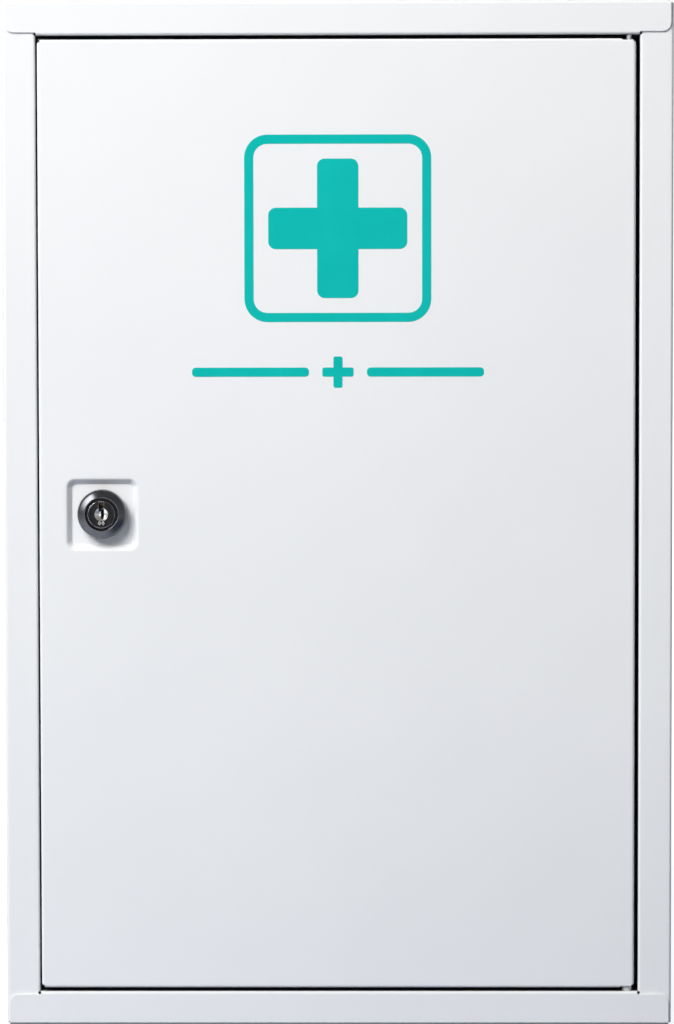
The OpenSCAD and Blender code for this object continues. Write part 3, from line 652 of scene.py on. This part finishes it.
class CABINET_OT_mark_welds(Operator):
    """Mark the spot welds of the back panel, the shelf brackets and the door trays"""

    bl_idname = "cabinet.mark_welds"
    bl_label = "Mark Welds"

    SUNK = mm(0.1)  # depth of a mark's underside in the sheet
    SHEET = mm(0.8)  # thickness of the trays' sheet
    LEG = mm(1.0)  # thickness of a bracket's upright leg
    LEG_HEIGHT = 0.42  # of a bracket's height, where the marks on its leg are
    TRAY_HEIGHT = mm(14.0)  # of the marks above a tray's underside
    # Rows of marks: the margin at both ends, and how many marks
    SIDE_ROW = (mm(24), 8)
    END_ROW = (mm(40), 5)
    BRACKET_ROW = (mm(8), 3)
    TRAY_ROW = (mm(18), 4)

    def execute(self, context):
        weld = context.scene.cabinet_weld
        coat, zinc = NODES["back_panel"].data.materials[0], NODES["lock_nut"].data.materials[0]
        self.marks("rear_welds", self.rear_places(weld), weld, coat, CABINET, "powder_coat")
        self.marks("bracket_welds", self.bracket_places(), weld, zinc, CABINET, "zinc_steel")
        self.marks("tray_welds", self.tray_places(), weld, coat, DOOR, "powder_coat")
        return {"FINISHED"}

    def marks(self, name, places, weld, mat, body, slot_name):
        """One mesh of dished marks at (centre, axis) places, each with a soft raised rim."""
        profile = ((0.0, 0.2 * weld.rim), (0.5 * weld.radius, 0.25 * weld.rim),
                   (0.68 * weld.radius, 0.8 * weld.rim), (0.78 * weld.radius, weld.rim),
                   (0.88 * weld.radius, 0.75 * weld.rim), (weld.radius, 0.0),
                   (weld.radius, -self.SUNK), (0.0, -self.SUNK))
        bm = bmesh.new()
        for centre, axis in places:
            spun(bm, profile, centre, axis)
        finish_piece(name, bm, mat, body)

    def rear_places(self, weld):
        """Both faces of the joints between the back panel and the flanges round it."""
        low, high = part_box("back_panel")
        sheet = high.y - low.y
        sides = (low.x + weld.inset, high.x - weld.inset)
        ends = (low.z + weld.inset, high.z - weld.inset)
        spots = [(x, z) for x in sides for z in row(low.z, high.z, *self.SIDE_ROW)]
        spots += [(x, z) for z in ends for x in row(low.x, high.x, *self.END_ROW)]
        outside = [(Vector((x, high.y, z)), Vector((0.0, 1.0, 0.0))) for x, z in spots]
        inside = [(Vector((x, low.y - sheet, z)), Vector((0.0, -1.0, 0.0))) for x, z in spots]
        return outside + inside

    def bracket_places(self):
        """Marks along the upright leg of each shelf bracket."""
        places = []
        for name in BRACKETS:
            low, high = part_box(name)
            inward = -1.0 if low.x > 0.0 else 1.0
            x = high.x - self.LEG if low.x > 0.0 else low.x + self.LEG
            z = low.z + self.LEG_HEIGHT * (high.z - low.z)
            places += [(Vector((x, y, z)), Vector((inward, 0.0, 0.0)))
                       for y in row(low.y, high.y, *self.BRACKET_ROW)]
        return places

    def tray_places(self):
        """Marks along the flange of each tray that lies against the door."""
        places = []
        for name in TRAYS:
            low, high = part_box(name)
            places += [(Vector((x, low.y + self.SHEET, low.z + self.TRAY_HEIGHT)),
                        Vector((0.0, 1.0, 0.0)))
                       for x in row(low.x, high.x, *self.TRAY_ROW)]
        return places


class CABINET_OT_finish_lock(Operator):
    """Give the lock its dark plating, its thread and its stamped marks"""

    bl_idname = "cabinet.finish_lock"
    bl_label = "Finish Lock"

    BARREL = mm(9.4)  # radius that the thread stands on
    BITE = mm(0.05)  # depth of the ridge's root in the barrel
    RUN_OUT = mm(0.4)  # plain end of the barrel
    RIDGE = (0.06, 0.42, 0.58, 0.94)  # root, crest, crest and root of the ridge in one pitch
    PER_TURN = 48  # steps in a turn of the thread
    STAMP_X = mm(0.8)  # of the stamped marks from the plug's middle
    STAMP_SLIM = 0.75  # their width as a share of their height
    STAMP_DROP = mm(1.0)  # below the dimple
    STAMP_LINE = mm(0.26)
    STAMP_RISE = mm(0.04)

    def execute(self, context):
        lock = context.scene.cabinet_lock
        nickel = cast_nickel(lock)
        assign(("lock_housing",), nickel)
        assign(("lock_plug",), brushed_plug(lock))
        self.thread(lock, nickel)
        self.stamps(lock)
        return {"FINISHED"}

    def thread(self, lock, nickel):
        """Helical ridge on the barrel behind the nut, cut off at the barrel's flats."""
        start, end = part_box("lock_nut")[1].y, HEAD_HIGH.y
        turns = int((end - start) / lock.pitch) - 1
        root, crest = self.BARREL - self.BITE, self.BARREL + lock.thread
        first = end - self.RUN_OUT - (turns + 1) * lock.pitch
        bm = bmesh.new()
        ridge = [bm.verts.new((LOCK_X, first + shift * lock.pitch, LOCK_Z + radius))
                 for radius, shift in zip((root, crest, crest, root), self.RIDGE)]
        edges = [bm.edges.new(pair) for pair in zip(ridge, ridge[1:] + ridge[:1])]
        bmesh.ops.spin(bm, geom=ridge + edges, cent=(LOCK_X, 0.0, LOCK_Z), axis=(0.0, 1.0, 0.0),
                       dvec=(0.0, lock.pitch / self.PER_TURN, 0.0), angle=2.0 * math.pi * turns,
                       steps=self.PER_TURN * turns, use_duplicate=False)
        for side in (-1.0, 1.0):
            bmesh.ops.bisect_plane(
                bm, geom=bm.verts[:] + bm.edges[:] + bm.faces[:], clear_outer=True,
                plane_co=(LOCK_X + side * lock.flats / 2, 0.0, LOCK_Z),
                plane_no=(side, 0.0, 0.0))
        bmesh.ops.holes_fill(bm, edges=[e for e in bm.edges if e.is_boundary], sides=0)
        finish_piece("barrel_thread", bm, nickel, DOOR)

    def stamps(self, lock):
        """Two plain lozenges stamped under the dimple."""
        face_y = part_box("lock_plug")[0].y
        bm = bmesh.new()
        for side in (-1.0, 1.0):
            ring = bmesh.ops.create_circle(bm, cap_ends=True, segments=4, radius=lock.stamp / 2)
            for vert in ring["verts"]:
                vert.co = Vector((LOCK_X + side * self.STAMP_X + self.STAMP_SLIM * vert.co.x,
                                  face_y, LOCK_Z - lock.dimple - self.STAMP_DROP + vert.co.y))
        inner = bm.faces[:]
        bm.normal_update()
        bmesh.ops.inset_individual(bm, faces=inner, thickness=self.STAMP_LINE,
                                   use_even_offset=True)
        bmesh.ops.delete(bm, geom=inner, context="FACES")
        thicken(bm, self.STAMP_RISE)
        finish_piece("plug_stamps", bm, worn_steel(lock), CORE)


class CABINET_OT_set_stage(Operator):
    """Lay the floor and set the lights and the camera"""

    bl_idname = "cabinet.set_stage"
    bl_label = "Set Stage"

    EYE = Vector((mm(12.3), mm(-1570.0), mm(302.0)))
    AIM = Vector((mm(-0.54), mm(-70.0), mm(231.95)))
    LIT = Vector((-0.02, FRONT_Y, 0.25))  # what the lamps point at
    # Degrees off the cabinet's front axis, degrees turned left from upright, distance, width
    KEY = (50.0, 37.0, 2.1, 1.1)
    FILL = (6.0, -60.0, 2.3, 1.0)
    FLOOR_HALF = 14.0
    CLIP = (0.01, 50.0)

    def execute(self, context):
        stage = context.scene.cabinet_stage
        self.floor(stage)
        key = self.lamp("key_light", stage.key, *self.KEY)
        # The key lamp is hidden from reflections: the sky's painted soft box stands in for its
        # reflection
        key.visible_glossy = False
        self.lamp("fill_light", stage.fill, *self.FILL)
        self.sky(context.scene, stage)
        self.camera(context.scene, stage)
        return {"FINISHED"}

    @staticmethod
    def aim(obj, eye, target):
        obj.location = eye
        obj.rotation_mode = "QUATERNION"
        obj.rotation_quaternion = (target - eye).to_track_quat("-Z", "Y")

    def lamp(self, name, power, tilt_deg, turn_deg, distance, width):
        """Square soft box, tilted off the front axis and turned about it."""
        tilt, turn = math.radians(tilt_deg), math.radians(turn_deg)
        place = self.LIT + distance * Vector((
            -math.sin(tilt) * math.sin(turn), -math.cos(tilt), math.sin(tilt) * math.cos(turn)))
        data = bpy.data.lights.new(name, "AREA")
        data.size = width
        data.energy = power
        obj = bpy.data.objects.new(name, data)
        bpy.context.scene.collection.objects.link(obj)
        self.aim(obj, place, self.LIT)
        return obj

    def camera(self, scene, stage):
        data = bpy.data.cameras.new("camera")
        data.sensor_width = 36.0
        data.lens = stage.lens
        data.clip_start, data.clip_end = self.CLIP
        obj = bpy.data.objects.new("camera", data)
        scene.collection.objects.link(obj)
        self.aim(obj, self.EYE, self.AIM)
        obj.rotation_quaternion @= Quaternion((0.0, 0.0, 1.0), stage.roll)
        scene.camera = obj

    def floor(self, stage):
        """Wide plain floor that the camera sees as nearly white."""
        bm = bmesh.new()
        bmesh.ops.create_grid(bm, x_segments=8, y_segments=8, size=self.FLOOR_HALF)
        mesh = bpy.data.meshes.new("floor")
        bm.to_mesh(mesh)
        bm.free()
        mesh.materials.append(self.floor_finish(stage))
        obj = bpy.data.objects.new("floor", mesh)
        bpy.context.scene.collection.objects.link(obj)

    @staticmethod
    def floor_finish(stage):
        """Faintly clouded colour, the white that camera rays see besides, and for glossy rays that
        white behind the cabinet and a painted reflection in front of it.
        """
        mat, tree, shader, coords = start_material("floor_finish")
        parts, away = split(tree, coords), length_of(tree, coords)
        cloud = noise(tree, coords, 1.5, 2.0)
        near_colour = blend_colours(tree, cloud, rgba(stage.floor),
                                    rgba(tinted(stage.floor, 0.985)))
        set_inputs(tree, shader, {
            "Base Color": blend_colours(tree, spread(tree, away, 0.4, 1.0), near_colour,
                                        rgba(stage.floor_far)),
            "Roughness": 0.8,
        })
        shown = spread(tree, away, 0.35, 0.9, stage.lift, 1.0)
        # Painted reflection, seen only by glossy rays in front of the cabinet: bright on the left
        # near the door, then the painted room
        near = spread(tree, parts["X"], -0.12, 0.05, 1.2, 0.0)
        front = blend_values(tree, spread(tree, away, 0.5, 1.3), near, stage.painted_room)
        mirrored = blend_values(tree, spread(tree, parts["Y"], -0.3, 0.0), front, shown)
        seen = add_node(tree, "ShaderNodeLightPath").outputs
        reflected = maths(tree, "MULTIPLY", seen["Is Glossy Ray"], mirrored)
        lift = add_node(tree, "ShaderNodeEmission", {
            "Color": (1.0, 1.0, 1.0, 1.0),
            "Strength": blend_values(tree, seen["Is Camera Ray"], reflected, shown),
        })
        both = add_node(tree, "ShaderNodeAddShader", {0: shader.outputs[0], 1: lift.outputs[0]})
        tree.links.new(both.outputs[0], tree.nodes["Material Output"].inputs["Surface"])
        return mat

    @staticmethod
    def painted_card(tree, way, stage):
        """Painted reflection of a soft box, seen only by glossy rays: sharp on the right, fading
        towards the left.
        """
        leftwards = maths(tree, "MULTIPLY", way["X"], -1.0)
        turn = maths(tree, "ARCTAN2", leftwards, way["Z"])
        soft = math.radians(4.0)
        value = spread(tree, turn, stage.card_edge - soft, stage.card_edge, 0.0, stage.painted_card)
        # The fade to the left, and the painted box's inner and outer edges off the front axis
        sides = (
            spread(tree, turn, stage.card_edge + 5.0 * soft, stage.card_fade, 1.0, 0.0),
            spread(tree, way["Y"], -0.46, -0.54),
            spread(tree, way["Y"], -0.80, -0.74),
        )
        for side in sides:
            value = maths(tree, "MULTIPLY", value, side)
        return value

    def sky(self, scene, stage):
        """White for camera rays, a painted room and soft box for glossy rays, and an even light
        for the others.
        """
        world = bpy.data.worlds.new("studio")
        world.use_nodes = True
        scene.world = world
        tree = world.node_tree
        parts = split(tree, tree.nodes.new("ShaderNodeTexCoord").outputs["Generated"])
        # Painted reflection: the room that glossy rays see, darker upwards and white behind
        painted_room = spread(tree, parts["Z"], 0.0, 0.6, stage.painted_room, 0.6 * stage.painted_room)
        painted_room = blend_values(tree, spread(tree, parts["Y"], -0.2, 0.3), painted_room, 1.0)
        # Painted reflection: the soft box that metal mirrors
        painted_room = maths(tree, "ADD", painted_room, self.painted_card(tree, parts, stage))
        seen = add_node(tree, "ShaderNodeLightPath").outputs
        mirrored = maths(tree, "MAXIMUM", seen["Is Glossy Ray"], seen["Is Transmission Ray"])
        # Faint in front, strong from behind, where it lights the cabinet's back and sides
        soft = spread(tree, parts["Y"], 0.4, 0.85, stage.sky, stage.rear)
        shown = blend_values(tree, mirrored, soft, painted_room)
        set_inputs(tree, tree.nodes["Background"], {
            "Color": (1.0, 1.0, 1.0, 1.0),
            "Strength": blend_values(tree, seen["Is Camera Ray"], shown, 1.0),
        })


class CABINET_PT_finish(Panel):
    """Steps that finish the cabinet, in order"""

    bl_idname = "CABINET_PT_finish"
    bl_label = "Cabinet Finish"
    bl_space_type = "VIEW_3D"
    bl_region_type = "UI"
    bl_category = "Cabinet"

    def draw(self, context):
        for name, _, step in SECTIONS:
            box = self.layout.box()
            settings = getattr(context.scene, name)
            for prop in settings.__annotations__:
                box.prop(settings, prop)
            box.operator(step.bl_idname)


# Scene property, its settings, and the operator that uses them, in the order of the work
SECTIONS = (
    ("cabinet_coat", CoatSettings, CABINET_OT_coat_sheet),
    ("cabinet_fittings", FittingSettings, CABINET_OT_finish_fittings),
    ("cabinet_sign", SignSettings, CABINET_OT_print_sign),
    ("cabinet_weld", WeldSettings, CABINET_OT_mark_welds),
    ("cabinet_lock", LockSettings, CABINET_OT_finish_lock),
    ("cabinet_stage", StageSettings, CABINET_OT_set_stage),
)


def register():
    for name, group, step in SECTIONS:
        bpy.utils.register_class(group)
        setattr(bpy.types.Scene, name, PointerProperty(type=group))
        bpy.utils.register_class(step)
    bpy.utils.register_class(CABINET_PT_finish)


def unregister():
    bpy.utils.unregister_class(CABINET_PT_finish)
    for name, group, step in reversed(SECTIONS):
        bpy.utils.unregister_class(step)
        delattr(bpy.types.Scene, name)
        bpy.utils.unregister_class(group)


def main():
    register()
    scene = bpy.context.scene
    scene.view_settings.view_transform = "Standard"
    bpy.ops.cabinet.coat_sheet()
    bpy.ops.cabinet.finish_fittings()
    bpy.ops.cabinet.print_sign()
    bpy.ops.cabinet.mark_welds()
    bpy.ops.cabinet.finish_lock()
    bpy.ops.cabinet.set_stage()


if __name__ == "__main__":
    main()
